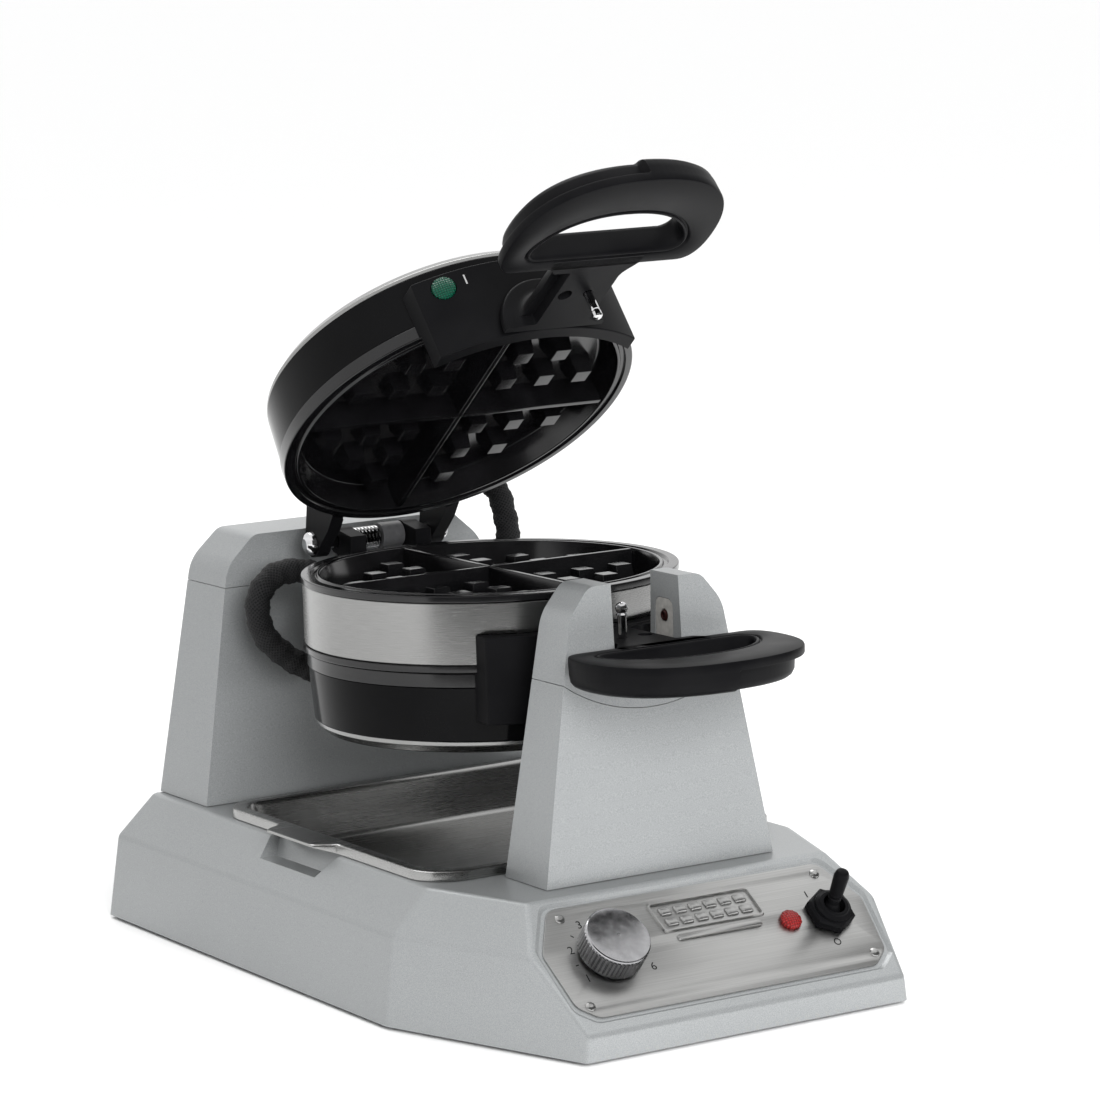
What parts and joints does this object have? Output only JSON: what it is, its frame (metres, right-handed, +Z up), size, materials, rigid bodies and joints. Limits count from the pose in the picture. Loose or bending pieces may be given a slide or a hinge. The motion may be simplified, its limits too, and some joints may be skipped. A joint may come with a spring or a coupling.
{
  "type": "waffle maker",
  "caption": "Double rotating waffle maker: a barrel with a hinged waffle lid on each face, carried between two towers on a base with a control panel and drip tray.",
  "frame": {"origin": "on the table, under the middle of the overall box", "axes": "+X to the right seen from the control panel, +Y towards the rear tower, along the barrel's turning axis, +Z up"},
  "size_m": [0.279, 0.4534, 0.4388],
  "materials": {
    "casting": "silver-grey metallic paint, fine orange peel",
    "steel": "brushed stainless steel",
    "chrome": "polished",
    "gloss_black": "high gloss",
    "matte_black": "moulded, fine texture",
    "plate_black": "dark non-stick coating",
    "rubber": "matte",
    "red_lens": "faceted translucent lens",
    "green_lens": "faceted translucent lens",
    "sleeve": "braided glass-fibre sleeve",
    "ceramic": "moulded insulator",
    "zinc": "satin machined"
  },
  "bodies": {
    "stand": {"base_housing": "casting", "bottom_plate": "zinc", "rubber_foot_front_left": "rubber", "rubber_foot_front_right": "rubber", "rubber_foot_rear_left": "rubber", "rubber_foot_rear_right": "rubber", "cable_gland": "rubber", "terminal_block": "ceramic", "front_tower": "casting", "front_saddle": "casting", "slot_liner_right": "steel", "slot_liner_left": "steel", "liner_screw_right": "zinc", "liner_screw_left": "zinc", "rear_tower": "casting", "rear_tower_cap": "casting", "rear_bearing": "zinc", "control_plate": "steel", "plate_rivet_upper_right": "steel", "plate_rivet_upper_left": "steel", "plate_rivet_lower_right": "steel", "plate_rivet_lower_left": "steel", "thermostat_body": "ceramic", "power_lamp": "red_lens", "toggle_body": "matte_black", "toggle_nut": "matte_black"},
    "barrel": {"barrel_band": "steel", "barrel_plate_upper": "plate_black", "barrel_plate_lower": "plate_black", "barrel_heater": "zinc", "hinge_yoke": "matte_black", "rear_journal": "zinc", "journal_ring": "zinc", "upper_hinge_pin": "chrome", "lower_hinge_pin": "chrome", "upper_conduit": "sleeve", "lower_conduit": "sleeve"},
    "upper_lid": {"upper_lid_cap": "steel", "upper_lid_band": "gloss_black", "upper_lid_plate": "plate_black", "upper_lid_heater": "zinc", "upper_front_block": "matte_black", "upper_ready_lamp": "green_lens", "upper_handle": "matte_black", "upper_lock_pin": "chrome", "upper_hinge_arms": "matte_black"},
    "lower_lid": {"lower_lid_cap": "steel", "lower_lid_band": "gloss_black", "lower_lid_plate": "plate_black", "lower_lid_heater": "zinc", "lower_front_block": "matte_black", "lower_ready_lamp": "green_lens", "lower_handle": "matte_black", "lower_lock_pin": "chrome", "lower_hinge_arms": "matte_black"},
    "thermostat_dial": {"thermostat_knob": "chrome", "thermostat_shaft": "zinc"},
    "toggle": {"toggle_lever": "matte_black"},
    "tray": {"drip_tray": "steel"}
  },
  "joints": [
    {"name": "barrel_flip", "type": "hinge", "parent": "stand", "child": "barrel", "pos_m": [0, 0.01334, 0.191], "axis": [0, 1, 0], "range_deg": [-95, 0]},
    {"name": "upper_lid_hinge", "type": "hinge", "parent": "barrel", "child": "upper_lid", "pos_m": [0, 0.13834, 0.2145], "axis": [-1, 0, 0], "range_deg": [-39, 36], "deforming": ["upper_conduit"]},
    {"name": "lower_lid_hinge", "type": "hinge", "parent": "barrel", "child": "lower_lid", "pos_m": [0, 0.13834, 0.1675], "axis": [1, 0, 0], "range_deg": [0, 0.2], "deforming": ["lower_conduit"]},
    {"name": "thermostat_turn", "type": "hinge", "parent": "stand", "child": "thermostat_dial", "pos_m": [-0.062, -0.19246, 0.04522], "axis": [0, -0.6626, 0.749], "range_deg": [-140, 140]},
    {"name": "power_toggle", "type": "hinge", "parent": "stand", "child": "toggle", "pos_m": [0.073, -0.19444, 0.04746], "axis": [1, 0, 0], "range_deg": [0, 28]},
    {"name": "tray_lift", "type": "slide", "parent": "stand", "child": "tray", "axis": [0, 0, 1], "range_m": [0, 0.04]}
  ]
}
